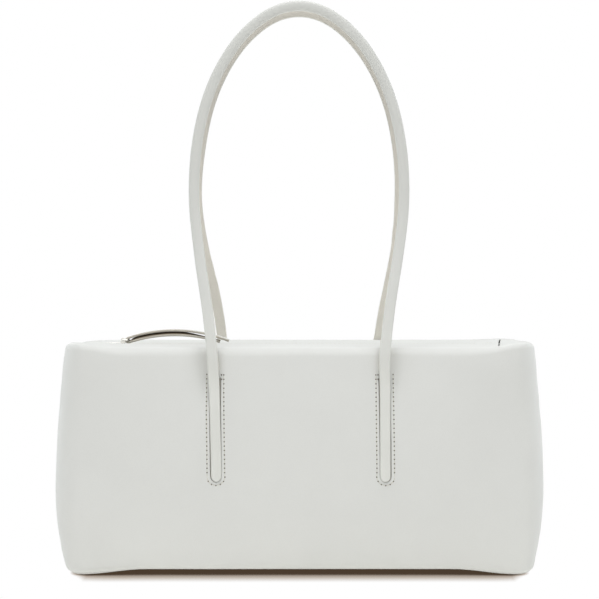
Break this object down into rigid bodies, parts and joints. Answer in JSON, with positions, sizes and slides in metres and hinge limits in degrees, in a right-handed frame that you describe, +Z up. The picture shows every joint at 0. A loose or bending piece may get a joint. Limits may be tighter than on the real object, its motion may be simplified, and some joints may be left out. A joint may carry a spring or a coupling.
{
  "type": "baguette shoulder bag",
  "caption": "White leather baguette shoulder bag: a soft box with a zip-closed top, a folded strap zip pull and slim strap handles inlaid in its panels.",
  "frame": {"origin": "middle of the underside, on the surface the bag stands on", "axes": "+Z up along the handles, +X to the right along the zip, +Y to the back, front towards -Y"},
  "size_m": [0.33, 0.1136, 0.392],
  "materials": {
    "leather": "smooth matt grain",
    "handle_leather": "smooth matt grain",
    "lining": "woven cotton",
    "board": "fibre board",
    "backing": "stiff non-woven",
    "handle_backing": "fine suede",
    "zip_tape": "woven tape",
    "zip_metal": "polished nickel plate"
  },
  "bodies": {
    "bag": {"front_panel": "leather", "back_panel": "leather", "left_gusset": "leather", "right_gusset": "leather", "base_panel": "leather", "base_board": "board", "lining": "lining", "slip_pocket": "lining", "zip_end_tab": "leather", "zip_bottom_stop": "zip_metal", "front_left_anchor_patch": "backing", "front_right_anchor_patch": "backing", "back_left_anchor_patch": "backing", "back_right_anchor_patch": "backing", "front_left_handle_tongue": "handle_leather", "front_right_handle_tongue": "handle_leather", "back_left_handle_tongue": "handle_leather", "back_right_handle_tongue": "handle_leather"},
    "front_top": {"front_top_facing": "leather", "front_zip_tape": "zip_tape", "front_zip_teeth": "zip_metal", "front_zip_stop": "zip_metal"},
    "back_top": {"back_top_facing": "leather", "back_zip_tape": "zip_tape", "back_zip_teeth": "zip_metal", "back_zip_stop": "zip_metal"},
    "slider": {"zip_slider": "zip_metal"},
    "pull": {"zip_pull_ring": "zip_metal", "zip_pull_strap": "leather"},
    "front_handle": {"front_handle_strap": "handle_leather", "front_handle_backing": "handle_backing"},
    "back_handle": {"back_handle_strap": "handle_leather", "back_handle_backing": "handle_backing"}
  },
  "joints": [
    {"name": "zip_slide", "type": "slide", "parent": "bag", "child": "slider", "axis": [1, 0, 0], "range_m": [0, 0.245], "deforming": ["front_zip_tape", "back_zip_tape", "front_zip_teeth", "back_zip_teeth"]},
    {"name": "pull_hinge", "type": "hinge", "parent": "slider", "child": "pull", "pos_m": [-0.12356, 0, 0.1564], "axis": [0, -1, 0], "range_deg": [0, 150]},
    {"name": "front_facing_fold", "type": "hinge", "parent": "bag", "child": "front_top", "pos_m": [0, -0.04541, 0.154], "axis": [1, 0, 0], "range_deg": [0, 65]},
    {"name": "back_facing_fold", "type": "hinge", "parent": "bag", "child": "back_top", "pos_m": [0, 0.04541, 0.154], "axis": [-1, 0, 0], "range_deg": [0, 65]},
    {"name": "front_handle_fold", "type": "hinge", "parent": "bag", "child": "front_handle", "pos_m": [0, -0.054, 0.135], "axis": [1, 0, 0], "range_deg": [0, 130]},
    {"name": "back_handle_fold", "type": "hinge", "parent": "bag", "child": "back_handle", "pos_m": [0, 0.054, 0.135], "axis": [-1, 0, 0], "range_deg": [0, 130]}
  ],
  "couplings": [
    {"joint": "front_facing_fold", "follows": "zip_slide", "rad_per_m": 4.6304},
    {"joint": "back_facing_fold", "follows": "zip_slide", "rad_per_m": 4.6304}
  ]
}
